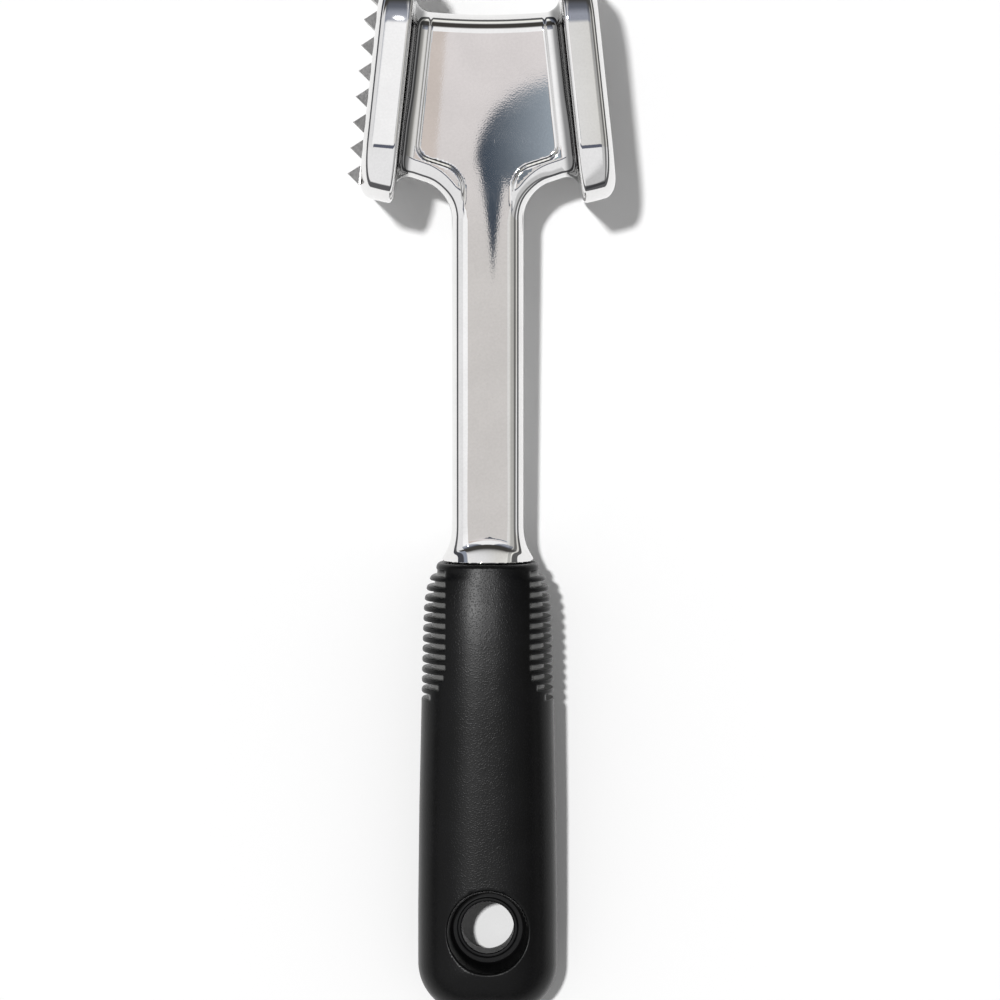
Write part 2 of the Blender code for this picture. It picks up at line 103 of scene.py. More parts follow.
shaft_half_width = 0.008675
shaft_half_depth = 0.0060    # at the handle; the shaft thickens up to the web's panel
shaft_edge = 0.0039
shaft_thin_end = -0.1260
collar_y = -0.1161           # where the casting goes into the handle
collar_half_width = 0.01175
collar_edge = 0.0075
side_flare = 0.0098          # length over which the sides widen to the collar
side_flare_power = 2.6
face_flare = 0.0044          # the front and back climb over the last bit at a steady slope
face_flare_slope = 0.70
face_flare_round = 0.0008    # rounding where the climb starts
face_flare_bow = 38.0        # that line bows: this times the square of the way to the side
tang_half_width = 0.0070
tang_half_depth = 0.0040
tang_edge = 0.0012
tang_end = -0.1861
tang_hole_places = (-0.1371, -0.1665)
tang_hole_radius = 0.0025
# Painted shade: between these shares the fillets between plates and web are darkened as well as
# made rougher.
root_shade_shares = (0.95, 0.45)     # shares of a fillet's radius between which it turns dull


def both(a, b, radius):
    """Where two solids overlap: the larger distance. Within a radius of their common edge both
    distances, counted from the radius's centre, join as the sides of a right triangle."""
    corner = np.hypot(np.maximum(a + radius, 0), np.maximum(b + radius, 0))
    return np.minimum(-radius, np.maximum(a, b)) + corner


def either(a, b, radius):
    """Two solids joined: the smaller distance. Within a radius of both, what each falls short of
    the radius joins as the sides of a right triangle, which makes a fillet."""
    corner = np.hypot(np.maximum(radius - a, 0), np.maximum(radius - b, 0))
    return np.maximum(radius, np.minimum(a, b)) - corner


def ease(value, start, end):
    """0 at start, 1 at end: ten cubes less fifteen fourth plus six fifth powers of the share,
    which is level and without curvature at both ends."""
    t = np.clip((value - start) / (end - start), 0, 1)
    return t ** 3 * (t * (t * 6 - 15) + 10)


def plates(x, y, z):
    """Both plates: a rectangle with quarter ellipses for corners seen from the side, crowned by a
    parabola across its thickness, cut by the striking plane and the inner plane."""
    away = np.abs(x) - face_span / 2
    out = away * math.cos(plate_splay) + y * math.sin(plate_splay)
    middle = away + plate_thickness / 2 / math.cos(plate_splay)
    along = y * math.cos(plate_splay) - middle * math.sin(plate_splay)
    side_y = (np.abs(along) - plate_length / 2) / plate_corner[0] + 1
    side_z = (np.abs(z) - plate_depth / 2) / plate_corner[1] + 1
    outline = np.hypot(np.maximum(side_y, 0), np.maximum(side_z, 0)) - 1
    outline = (outline + np.minimum(np.maximum(side_y, side_z), 0)) * plate_corner[1]
    outline = outline + (out + plate_crown_place) ** 2 / (2 * plate_crown_radius)
    solid = both(outline, out, plate_outer_rim)
    return both(solid, -out - plate_thickness, plate_inner_rim)


def web_and_shaft(x, y, z):
    """A flat outline, web and shaft filleted together, under a height: the panel's or shaft's
    level, plus the step up to the rims, less the crown, plus the climb to the collar."""
    side = np.abs(x)
    inner = inner_face - y * math.tan(plate_splay)
    flare = np.clip((collar_y + side_flare - y) / side_flare, 0, 1) ** side_flare_power
    half_width = shaft_half_width + (collar_half_width - shaft_half_width) * flare
    far = y - web_far_reach - web_far_rise * np.minimum(side / inner_face, 1) ** 2
    climb = (side - shaft_half_width) * math.tan(web_near_slope)
    near = (climb - web_near_reach - y) * math.cos(web_near_slope)
    strip = np.maximum(side - half_width, y)
    outline = either(np.maximum(far, near), strip, shoulder_radius)

    pocket = both(side - inner + side_bead_inset, near + near_rim_width, pocket_corner)
    throat = np.maximum(side - throat_half, y)
    pocket = either(pocket, throat, throat_fillet)
    fade = ease(y, rim_fade_end, rim_fade_start)
    panel_level = web_half - panel_sink
    settle = ease(y, shaft_thin_end, rim_fade_start)
    height = shaft_half_depth + (panel_level - shaft_half_depth) * settle
    height = height + panel_sink * ease(pocket, 0, rim_step) * fade
    height = height - x ** 2 / (2 * front_crown_radius)
    climbed = collar_y + face_flare - face_flare_bow * x ** 2 - y
    height = height + (np.hypot(climbed, face_flare_round) + climbed) / 2 * face_flare_slope
    edge = web_edge + (shaft_edge - web_edge) * ease(y, rim_fade_start, rim_fade_end)
    edge = edge + (collar_edge - shaft_edge) * flare
    near_edge = ease(y, 0, -web_near_reach / 2) * ease(y, rim_fade_end, rim_fade_start)
    squash = 1 + web_near_squash * near_edge
    solid = both(outline, (np.abs(z) - height) * squash, edge)
    solid = np.maximum(solid, side - inner - plate_thickness / 2)
    return np.maximum(solid, collar_y - y)


def tang(x, y, z):
    """The flat bar inside the handle: cut off square, less two round upright holes."""
    bar = both(np.abs(x) - tang_half_width, np.abs(z) - tang_half_depth, tang_edge)
    bar = np.maximum(bar, np.maximum(tang_end - y, y - collar_y - tang_edge))
    for place in tang_hole_places:
        bar = np.maximum(bar, tang_hole_radius - np.hypot(x, y - place))
    return bar


def casting(x, y, z):
    """Distance to the whole casting, in the tool frame: web and shaft filleted to the plates."""
    head = either(web_and_shaft(x, y, z), plates(x, y, z), root_fillet)
    return np.minimum(head, tang(x, y, z))


def in_root_shade(x, y, z):
    """1 in the fillets between plates and web, which are rougher where the buffing wheel doesn't
    reach
    and darkened as painted shade: where the farther of the two is well within a fillet's radius."""
    apart = np.maximum(web_and_shaft(x, y, z), plates(x, y, z)) / root_fillet
    return ease(apart, *root_shade_shares)


def grid_lines(*stretches):
    """Line places from stretches, each (start, end, spacing)."""
    rows = []
    for start, end, spacing in stretches:
        count = max(1, round(abs(end - start) / spacing))
        rows.append(np.linspace(start, end, count, endpoint=False))
    return np.unique(np.concatenate(rows + [[stretches[-1][1]]]).round(7))


def both_ways(lines):
    """Lines from zero outwards, and the same on the other side."""
    return np.unique(np.concatenate((-lines, lines)))


gradient_reach = 2e-6
longest_move = 3e-4          # for one step of a point towards the surface
least_slope = 0.05           # squared; keeps steps short where the distance is flat
lean_start, lean_full = 0.005, 0.0155   # the plates' lines lean, the web's middle ones don't
lean_reach = 0.031


def slope_of(solid, points):
    """Distance and gradient of a solid at points: half the difference over a reach each way."""
    columns = []
    for axis in range(3):
        shift = np.zeros(3)
        shift[axis] = gradient_reach
        ahead = solid(*(points + shift).T)
        behind = solid(*(points - shift).T)
        columns.append((ahead - behind) / (2 * gradient_reach))
    return solid(*points.T), np.stack(columns, 1)


def skin(name, solid, xs, ys, zs, lean=0.0, mark=None):
    """Closed skin of a solid: one point in every grid cell that its surface crosses, set at the
    mean of the crossings on the cell's edges and then moved down the gradient onto the surface;
    one face round every grid line that the surface cuts. The lines lean with the plates. A mark
    is a name and a function, kept as an attribute of the points."""
    gx, gy, gz = np.meshgrid(xs, ys, zs, indexing="ij")
    ramp = ease(np.abs(gx), lean_start, lean_full)
    gx = gx - np.sign(gx) * ramp * lean * np.clip(gy, -lean_reach, lean_reach)
    distance = solid(gx, gy, gz)
    grid = np.stack((gx, gy, gz), -1)
    inside = distance < 0
    corners = np.stack([inside[i:i - 1 or None, j:j - 1 or None, k:k - 1 or None]
                        for i in (0, 1) for j in (0, 1) for k in (0, 1)])
    crossed = corners.any(0) & ~corners.all(0)
    cells = np.argwhere(crossed)
    index = np.full(crossed.shape, -1)
    index[tuple(cells.T)] = np.arange(len(cells))
    total = np.zeros((len(cells), 3))
    count = np.zeros(len(cells))
    for axis in range(3):
        step = np.eye(3, dtype=int)[axis]
        u, v = [np.eye(3, dtype=int)[other] for other in range(3) if other != axis]
        for corner in (0 * u, u, v, u + v):
            low = tuple((cells + corner).T)
            high = tuple((cells + corner + step).T)
            cut = inside[low] != inside[high]
            share = distance[low] / np.where(cut, distance[low] - distance[high], 1)
            point = grid[low] + (grid[high] - grid[low]) * share[:, None]
            total += np.where(cut[:, None], point, 0)
            count += cut
    points = total / count[:, None]
    for _ in range(6):
        value, gradient = slope_of(solid, points)
        share = value / np.maximum((gradient ** 2).sum(1), least_slope)
        points = points - np.clip(share, -longest_move, longest_move)[:, None] * gradient

    faces = []
    for axis in range(3):
        ahead = np.moveaxis(inside, axis, 0)
        cut = np.moveaxis(ahead[:-1] != ahead[1:], 0, axis)
        places = np.argwhere(cut)
        inner_lines = [other for other in range(3) if other != axis]
        within = [(places[:, o] > 0) & (places[:, o] < inside.shape[o] - 1) for o in inner_lines]
        places = places[np.all(within, 0)]
        u, v = [np.eye(3, dtype=int)[other] for other in inner_lines]
        quad = np.stack([index[tuple((places - s).T)] for s in (u + v, v, 0 * u, u)], 1)
        faces.append(quad)
    faces = np.concatenate(faces)
    _, gradient = slope_of(solid, points)
    normals = gradient / np.maximum(np.linalg.norm(gradient, axis=1, keepdims=True), 1e-9)
    corners = points[faces]
    facing = np.cross(corners[:, 2] - corners[:, 0], corners[:, 3] - corners[:, 1])
    inward = (facing * normals[faces].sum(1)).sum(1) < 0
    faces[inward] = faces[inward][:, ::-1]
    piece = new_piece(name, lay(points), faces, turn(normals))
    if mark:
        marks = piece.data.attributes.new(mark[0], "FLOAT", "POINT")
        marks.data.foreach_set("value", mark[1](*points.T).astype(np.float32))
    return piece


def new_piece(name, points, quads, normals=None):
    """Put arrays of points and four-sided faces into a mesh, with its true normals if given."""
    mesh = bpy.data.meshes.new(name)
    mesh.vertices.add(len(points))
    mesh.vertices.foreach_set("co", np.asarray(points, np.float32).ravel())
    mesh.loops.add(quads.size)
    mesh.loops.foreach_set("vertex_index", quads.astype(np.int32).ravel())
    mesh.polygons.add(len(quads))
    mesh.polygons.foreach_set("loop_start", np.arange(0, quads.size, 4, dtype=np.int32))
    mesh.update(calc_edges=True)
    mesh.validate()
    mesh.shade_smooth()
    if normals is not None:
        mesh.normals_split_custom_set_from_vertices(normals.tolist())
    piece = bpy.data.objects.new(name, mesh)
    bpy.context.scene.collection.objects.link(piece)
    return piece


class Value:
    """A shader socket that takes part in sums like a number; add() puts in any other node."""

    def __init__(self, tree, socket=None):
        self.tree = tree
        self.socket = socket

    def add(self, kind, settings=(), values=(), output=0):
        """Node type, then its settings, then the value or link of each input, by name or place."""
        node = self.tree.nodes.new(kind)
        for name, setting in dict(settings).items():
            setattr(node, name, setting)
        for name, value in dict(values).items():
            if isinstance(value, Value):
                self.tree.links.new(value.socket, node.inputs[name])
            else:
                node.inputs[name].default_value = value
        return Value(self.tree, node.outputs[output])

    def feed(self, node, name):
        """Link it to one of a shader's sockets."""
        self.tree.links.new(self.socket, node.inputs[name])

    def math(self, operation, *values):
        """A Math node on any values."""
        return self.add("ShaderNodeMath", {"operation": operation}, dict(enumerate(values)))

    def __add__(self, other):
        return self.math("ADD", self, other)

    def __sub__(self, other):
        return self.math("SUBTRACT", self, other)

    def __rsub__(self, other):
        return self.math("SUBTRACT", other, self)

    def __mul__(self, other):
        return self.math("MULTIPLY", self, other)

    def __truediv__(self, other):
        return self.math("DIVIDE", self, other)

    def __rtruediv__(self, other):
        return self.math("DIVIDE", other, self)

    __radd__ = __add__
    __rmul__ = __mul__

    def step(self, low, high):
        """0 below low and 1 above high, smooth between; falling if low is the larger."""
        if low > high:
            return 1 - self.step(high, low)
        return self.add("ShaderNodeMapRange", {"interpolation_type": "SMOOTHSTEP"},
                        {0: self, 1: low, 2: high, 3: 0.0, 4: 1.0})

    def blend(self, first, second):
        """From the first colour at 0 to the second at 1."""
        return self.add("ShaderNodeMix", {"data_type": "RGBA"},
                        {0: self, 6: first, 7: second}, output=2)

    def stretched(self, x, y, z):
        """A place with its axes scaled, for marks that run one way."""
        return self.add("ShaderNodeVectorMath", {"operation": "MULTIPLY"}, {0: self, 1: (x, y, z)})

    def noise(self, size, detail=2.0, roughness=0.5):
        """Noise from 0 to 1 with spots of about a size in metres."""
        return self.add("ShaderNodeTexNoise", {"normalize": True},
                        {"Vector": self, "Scale": 1 / size, "Detail": detail,
                         "Roughness": roughness})

    def bump(self, relief, below=None):
        """A normal from a relief in metres, on top of another bump if there is one."""
        values = {"Height": self, "Strength": 1.0, "Distance": relief}
        if below:
            values["Normal"] = below
        return self.add("ShaderNodeBump", (), values)


def new_material(name, fixed):
    """A material with one Principled shader, what is the same all over set on its sockets.
    Returns it with its shader and the place on the object in metres."""
    material = bpy.data.materials.new(name)
    material.use_nodes = True
    shader = material.node_tree.nodes["Principled BSDF"]
    for socket, value in fixed.items():
        shader.inputs[socket].default_value = value
    place = Value(material.node_tree).add("ShaderNodeTexCoord", output="Object")
    return material, shader, place


def aluminium(name, as_cast):
    """Die-cast aluminium: buffed to a mirror with a faint flow pattern, hairline scratches and
    soft wear, with painted shade darkening the fillets between plates and web, or left as cast
    with a sandy grain where the buffing wheel doesn't reach."""
    material, shader, place = new_material(name, {"Metallic": 1.0})
    cloud = place.noise(0.011, 3.0)
    fine = place.noise(0.0006, 2.0)
    tone = (cloud * 0.6 + fine * 0.4).step(0.25, 0.75)
    if as_cast:
        tone.blend((0.36, 0.355, 0.35, 1), (0.62, 0.61, 0.60, 1)).feed(shader, "Base Color")
        (fine * 0.16 + 0.26).feed(shader, "Roughness")
        fine.bump(0.00005, place.noise(0.0018).bump(0.00012)).feed(shader, "Normal")
        return material
    tone = tone.blend((0.80, 0.795, 0.79, 1), (0.88, 0.875, 0.87, 1))
    root = place.add("ShaderNodeAttribute", {"attribute_name": "root"}, output=2)
    # Painted shade: the fillets' colour is blended towards dark grey, standing in for the shade
    # that falls in them.
    root.blend(tone, (0.26, 0.26, 0.26, 1)).feed(shader, "Base Color")
    hairs = place.stretched(1.0, 0.04, 1.0).noise(0.00025, 1.0).step(0.74, 0.80)
    worn = cloud.step(0.50, 0.66)
    rough = worn * 0.008 + hairs * worn * 0.05 + fine * 0.010 + root * 0.02 + 0.016
    rough.feed(shader, "Roughness")
    grain = place.noise(0.00036, 0.0).bump(0.00000042, cloud.bump(0.0000010))
    (hairs * worn).bump(-0.0000003, grain).feed(shader, "Normal")
    return material


cast_x = both_ways(grid_lines((0, 0.0044, 0.0011), (0.0044, 0.0092, 0.0004),
                              (0.0092, 0.0140, 0.0009), (0.0140, 0.0209, 0.0003),
                              (0.0209, 0.0244, 0.0007), (0.0244, 0.0290, 0.00035)))
cast_y = grid_lines((-0.1873, -0.1169, 0.0012), (-0.1169, -0.1080, 0.0003),
                    (-0.1080, -0.1040, 0.0008), (-0.1040, -0.0400, 0.0035),
                    (-0.0400, -0.0330, 0.0010), (-0.0330, -0.0150, 0.00036),
                    (-0.0150, 0.0105, 0.0015), (0.0105, 0.0187, 0.00028),
                    (0.0187, 0.0260, 0.0006), (0.0260, 0.0298, 0.00035))
cast_z = both_ways(grid_lines((0, 0.0018, 0.0009), (0.0018, 0.0056, 0.0004),
                              (0.0056, 0.0074, 0.0002), (0.0074, 0.0102, 0.00035),
                              (0.0102, 0.0140, 0.00095), (0.0140, 0.0220, 0.0008),
                              (0.0220, 0.0266, 0.00035)))
cast_skin = skin("cast_skin", casting, cast_x, cast_y, cast_z,
                 lean=math.tan(plate_splay), mark=("root", in_root_shade))
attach(cast_skin, "root")
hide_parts("cast_head_and_shaft")
cast_skin.data.materials.append(aluminium("polished_aluminium", False))

# The studs
# Fifty-six four-sided points stand on one striking face, cast in one with it and left as cast:
# duller than the polished skin, with their ridges and tips worn slightly round.
stud_rows = 8
stud_columns = 7
stud_pitch = 0.00615
stud_half_base = 0.00235
stud_height = 0.00295
stud_shift = -0.00070        # of the whole pattern along the plate, towards the handle
stud_ridge = 0.00010         # width of the worn ridge, as a chamfer
stud_root = 0.0004           # how deep a stud starts inside the plate
stud_levels = np.array((-stud_root, 0, 0.86 * stud_height, 0.95 * stud_height, stud_height))
stud_shares = np.array((1, 1, 0.15, 0.085, 0.03))   # how wide it is at each level


def stud_points():
    """One stud, upright on +Z: at each level a square of its share of the base, as a ring of
    eight points, because the ridge takes a little off each corner."""
    half = stud_half_base * stud_shares[:, None]
    cut = half - np.minimum(stud_ridge, half / 2)
    x = np.hstack((half, cut, -cut, -half, -half, -cut, cut, half))
    y = np.hstack((cut, half, half, cut, -cut, -half, -half, -cut))
    z = np.broadcast_to(stud_levels[:, None], x.shape)
    return np.stack((x, y, z), -1).reshape(-1, 3)


def stud_quads():
    """One stud's faces: each ring's points joined to the next ring's, both ends closed flat."""
    low = np.arange(8 * (len(stud_levels) - 1)).reshape(-1, 8)
    next_low = np.roll(low, -1, axis=1)
    sides = np.stack((low, next_low, next_low + 8, low + 8), -1).reshape(-1, 4)
    lid = np.array(((0, 1, 2, 3), (0, 3, 4, 7), (4, 5, 6, 7)))
    return np.concatenate((sides, lid + low.size, lid[:, ::-1]))


def stud_field():
    """All the studs: each is moved to its row and column, then Z is turned to the striking
    face's -X on the splayed plate."""
    one = stud_points()
    rows = np.arange(stud_rows) - (stud_rows - 1) / 2
    columns = np.arange(stud_columns) - (stud_columns - 1) / 2
    row, column = [share.reshape(-1, 1) for share in np.meshgrid(rows, columns, indexing="ij")]
    cos, sin = math.cos(plate_splay), math.sin(plate_splay)
    along = row * stud_pitch + stud_shift + one[:, 1]
    depth = column * stud_pitch + one[:, 0]
    x = -face_span / 2 - one[:, 2] * cos + along * sin
    y = along * cos + one[:, 2] * sin
    faces = stud_quads() + np.arange(len(row))[:, None, None] * len(one)
    return np.stack((x, y, depth), -1).reshape(-1, 3), faces.reshape(-1, 4)


stud_places, stud_faces = stud_field()
stud_piece = new_piece("stud_field", lay(stud_places), stud_faces)
stud_piece.data.shade_flat()
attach(stud_piece, "root")
stud_piece.data.materials.append(aluminium("stud_aluminium", True))

# The handle's core
# A hard plastic bar is moulded round the tang and through its two cross holes. Only its eye
# shows, as the ring inside the hanging hole.
handle_top = -0.1164
handle_end = -0.2271
eye_place = handle_end + 0.0215
core_neck = (0.0091, 0.0075)
core_bar = (0.0105, 0.0095)
core_edge = 0.0038
neck_length = 0.0060
eye_half = 0.0040
eye_taper = (0.0110, 0.0200)   # from the hole's axis to where the bar has its eye and full depth
eye_radius = 0.0120
eye_bore = 0.0064
eye_lip = 0.0073               # a low lip stands round the bore
eye_lip_height = 0.0005
eye_edge = 0.0008
lip_edge = 0.0002
lip_fillet = 0.0003
bore_edge = 0.0004
core_gap = 0.0003


def core_block(x, y, z):
    """The bar with its eye, before it is bored: a rounded bar that eases from its neck to full
    size and down to the eye's thickness, joined with the eye's disc."""
    widen = ease(handle_top - y, neck_length, 2 * neck_length)
    half_width = core_neck[0] + (core_bar[0] - core_neck[0]) * widen
    half_depth = core_neck[1] + (core_bar[1] - core_neck[1]) * widen
    half_depth = eye_half + (half_depth - eye_half) * ease(y - eye_place, *eye_taper)
    bar = both(np.abs(x) - half_width, np.abs(z) - half_depth, core_edge)
    bar = np.maximum(bar, np.maximum(eye_place - y, y - handle_top))
    radius = np.hypot(x, y - eye_place)
    eye = both(radius - eye_radius, np.abs(z) - eye_half, eye_edge)
    return np.minimum(bar, eye)


def core(x, y, z):
    """The bar with the lip's disc, less the round bore and the tang with a gap round it."""
    radius = np.hypot(x, y - eye_place)
    lip = both(radius - eye_lip, np.abs(z) - eye_half - eye_lip_height, lip_edge)
    solid = either(core_block(x, y, z), lip, lip_fillet)
    solid = both(solid, eye_bore - radius, bore_edge)
    return np.maximum(solid, core_gap - tang(x, y, z))


def plastic():
    """Hard black plastic, satin from its mould, a little rubbed where a hook runs."""
    material, shader, place = new_material("black_hard_plastic", {"Specular IOR Level": 0.12})
    cloud = place.noise(0.004, 3.0)
    tone = cloud.step(0.3, 0.7).blend((0.003, 0.003, 0.0034, 1), (0.006, 0.006, 0.0066, 1))
    tone.feed(shader, "Base Color")
    (cloud * 0.16 + 0.40).feed(shader, "Roughness")
    place.noise(0.0005).bump(0.000012).feed(shader, "Normal")
    return material


core_x = both_ways(grid_lines((0, 0.0060, 0.00035), (0.0060, 0.0082, 0.0002),
                              (0.0082, 0.0125, 0.0006)))
core_y = grid_lines((-0.2182, -0.2140, 0.0006), (-0.2140, -0.2116, 0.0002),
                    (-0.2116, -0.1996, 0.00035), (-0.1996, -0.1972, 0.0002),
                    (-0.1972, -0.1850, 0.0010), (-0.1850, -0.1160, 0.0011))
core_z = both_ways(grid_lines((0, 0.0034, 0.0007), (0.0034, 0.0050, 0.00018),
                              (0.0050, 0.0100, 0.0008)))
core_skin = skin("core_skin", core, core_x, core_y, core_z)
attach(core_skin, "root")
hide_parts("handle_core")
core_skin.data.materials.append(plastic())

# The rubber grip
# A soft black sleeve is moulded over the core. Each side has twelve thin fins with full-round
# tips; they end in grooves whose floor lies just under the smooth front and back panels.
grip_places = (0, 0.0022, 0.0030, 0.0036, 0.0061, 0.0086, 0.0111, 0.0180, 0.0260, 0.0349,
               0.0600, 0.0850, 0.1107)   # down from the handle's upper end
grip_half_widths = (0.01240, 0.01265, 0.01340, 0.01410, 0.01490, 0.01535, 0.01560, 0.01585,
                    0.01605, 0.01620, 0.01675, 0.01705, 0.01705)
grip_half_depths = (0.01080, 0.01104, 0.01113, 0.01121, 0.01160, 0.01202, 0.01240, 0.01300,
                    0.01335, 0.01350, 0.01350, 0.01350, 0.01350)
floor_places = (0, 0.0024, 0.0049, 0.0074, 0.0100, 0.0200, 0.0340, 0.1107)
floor_half_widths = (0.01225, 0.01230, 0.01295, 0.01325, 0.01335, 0.01360, 0.01390, 0.01390)
floor_sink = 0.0006          # the grooves' floor lies this much under the front and back
section_power = 2.5          # 2 is an ellipse, more is squarer
top_round = 0.0010
butt_round = 0.0126
fin_pitch = 0.0025
first_fin = 0.0036
fin_count = 12
groove_gap = 0.00130
groove_edge = 0.0003
groove_fillet = 0.0002
fin_round = 0.00045
fin_panel = 0.01035          # half the smooth panel's width between the fins
panel_bow = 0.0037           # the panel widens by this over the last grooves
panel_bow_length = 0.0078
hole_mouth = 0.01025
hole_throat = 0.0083
hole_round = 0.0005
depth_reach = 60             # table steps over which the bends in the depth are rounded
# Painted light: the grooves' floors are made pale, standing in for the light they catch.
groove_light_depths = (0.0004, 0.0007)   # a groove's floor turns pale between these depths

fine_places = np.arange(-0.004, 0.116, 0.0001)


def rounded_curve(places, values, reach=12):
    """Straight stretches as a fine table, each bend rounded over a reach of table steps to both
    sides: a running mean with bell-shaped weights."""
    weights = np.exp(-(np.arange(-reach, reach + 1) * 2.4 / reach) ** 2)
    line = np.pad(np.interp(fine_places, places, values), reach, mode="edge")
    return np.convolve(line, weights / weights.sum(), mode="valid")


grip_widths = rounded_curve(grip_places, grip_half_widths)
grip_depths = rounded_curve(grip_places, grip_half_depths, depth_reach)
floor_widths = rounded_curve(floor_places, floor_half_widths)


def oval(x, z, half_width, half_depth):
    """Distance to an oval: the way from its middle, times one less one over the share of the
    oval's size, which is the root of the summed powers of both shares."""
    powers = np.abs(x / half_width) ** section_power + np.abs(z / half_depth) ** section_power
    share = powers ** (1 / section_power)
    return np.hypot(x, z) * (1 - 1 / np.maximum(share, 1e-6))


def grip(x, y, z):
    """The sleeve: an oval body, less a slot at every fin pitch down to the grooves' floor, less
    the core with a gap round it, less the funnel of the hanging hole on both sides."""
    down = handle_top - y
    half_width = np.interp(down, fine_places, grip_widths)
    half_depth = np.interp(down, fine_places, grip_depths)
    side = oval(x, z, half_width, half_depth)
    number = np.clip(np.round((down - first_fin) / fin_pitch + 0.5), 0, fin_count)
    centre = first_fin + (number - 0.5) * fin_pitch
    last = first_fin + (fin_count - 0.5) * fin_pitch
    bow = np.maximum(0, (centre - last + panel_bow_length) / panel_bow_length)
    inner = fin_panel + panel_bow * bow ** 2
    slot = both(np.abs(down - centre) - groove_gap / 2, inner - np.abs(x), groove_edge)
    bottom = oval(x, z, np.interp(down, fine_places, floor_widths), half_depth - floor_sink)
    side = both(side, either(-slot, bottom, groove_fillet), fin_round)
    solid = both(side, handle_end - y, butt_round)
    solid = both(solid, y - handle_top, top_round)
    solid = np.maximum(solid, core_gap - core_block(x, np.minimum(y, handle_top - 0.001), z))
    radius = np.hypot(x, y - eye_place)
    slope = (hole_mouth - hole_throat) / (grip_half_depths[-1] - eye_half)
    funnel = hole_throat + slope * np.maximum(np.abs(z) - eye_half, 0) - radius
    return both(solid, funnel * math.cos(math.atan(slope)), hole_round)


def rubber():
    """Soft black rubber with a fine moulded grain that glints, and painted light that makes the
    grooves' floors pale.
    """
    material, shader, place = new_material("black_soft_rubber", {"Specular IOR Level": 0.17})
    cloud = place.noise(0.008, 3.0)
    grain = place.noise(0.00034, 0.0).step(0.50, 0.76)
    tone = (cloud * 0.7 + grain * 0.3).step(0.3, 0.7)
    tone = tone.blend((0.0014, 0.0014, 0.0015, 1), (0.0030, 0.0030, 0.0033, 1))
    # Painted light: the grooves' floors are blended to pale grey, standing in for the light they
    # catch.
    painted_groove_light = place.add("ShaderNodeAttribute", {"attribute_name": "groove"}, output=2)
    painted_groove_light.blend(tone, (0.150, 0.150, 0.147, 1)).feed(shader, "Base Color")
    (cloud * 0.06 + grain * 0.03 + 0.30).feed(shader, "Roughness")
    grain.bump(0.000013, place.noise(0.0040).bump(0.000020)).feed(shader, "Normal")
    return material


def in_groove(x, y, z):
    """1 on a groove's floor, where the surface lies deep between two fins: where light is painted.
    """
    down = handle_top - y
    half_width = np.interp(down, fine_places, grip_widths)
    half_depth = np.interp(down, fine_places, grip_depths)
    under = -oval(x, z, half_width, half_depth)
    number = np.round((down - first_fin) / fin_pitch + 0.5)
    among = (number > -1) & (number < fin_count + 1) & (np.abs(x) > fin_panel)
    return np.where(among, ease(under, *groove_light_depths), 0)


grip_x = both_ways(grid_lines((0, 0.0070, 0.0007), (0.0070, 0.0101, 0.00045),
                              (0.0101, 0.0107, 0.00015), (0.0107, 0.0174, 0.00030)))
grip_y = grid_lines((-0.2275, -0.2180, 0.0005), (-0.2180, -0.1960, 0.00038),
                    (-0.1960, -0.1510, 0.0016), (-0.1510, -0.1160, 0.00024))
grip_z = both_ways(grid_lines((0, 0.0090, 0.0009), (0.0090, 0.0138, 0.00045)))
grip_skin = skin("grip_skin", grip, grip_x, grip_y, grip_z, mark=("groove", in_groove))
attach(grip_skin, "root")
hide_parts("rubber_grip")
grip_skin.data.materials.append(rubber())

# The floor and the studio
# A white table under one small lamp high up on the left, with a wide soft light beside it. The
# soft light, the ceiling and the walls only show as reflections, so they are drawn in the world
# by direction: their places are given as slopes, sideways and along the tool, from straight up.
table_half = 1.5
lamp_slope = (-0.174, 0.120)
lamp_angle = 0.050
lamp_strength = 2.36
fill_level = 0.325


def white_board():
    """Matte white board, its tone and roughness hardly varying."""
    material, shader, place = new_material("white_table", {"Specular IOR Level": 0.1})
    cloud = place.noise(0.15, 2.0)
    tone = cloud.step(0.3, 0.7).blend((0.945, 0.945, 0.945, 1), (0.955, 0.955, 0.955, 1))
    tone.feed(shader, "Base Color")
    (cloud * 0.1 + 0.6).feed(shader, "Roughness")
    return material


table_corners = np.array([(-1, -1, 0), (1, -1, 0), (1, 1, 0), (-1, 1, 0)]) * table_half
table = new_piece("table", table_corners, np.array([[0, 1, 2, 3]]))
table.data.materials.append(white_board())

lamp = bpy.data.lights.new("key_lamp", "SUN")
lamp.energy = lamp_strength
lamp.angle = lamp_angle
lamp_holder = bpy.data.objects.new("key_lamp", lamp)
bpy.context.scene.collection.objects.link(lamp_holder)
lamp_holder.rotation_euler = Vector((*lamp_slope, 1)).to_track_quat("Z", "Y").to_euler()


def between(value, low, high, soft):
    """1 between two values with soft ends."""
    return value.step(low - soft, low + soft) * value.step(high + soft, high - soft)


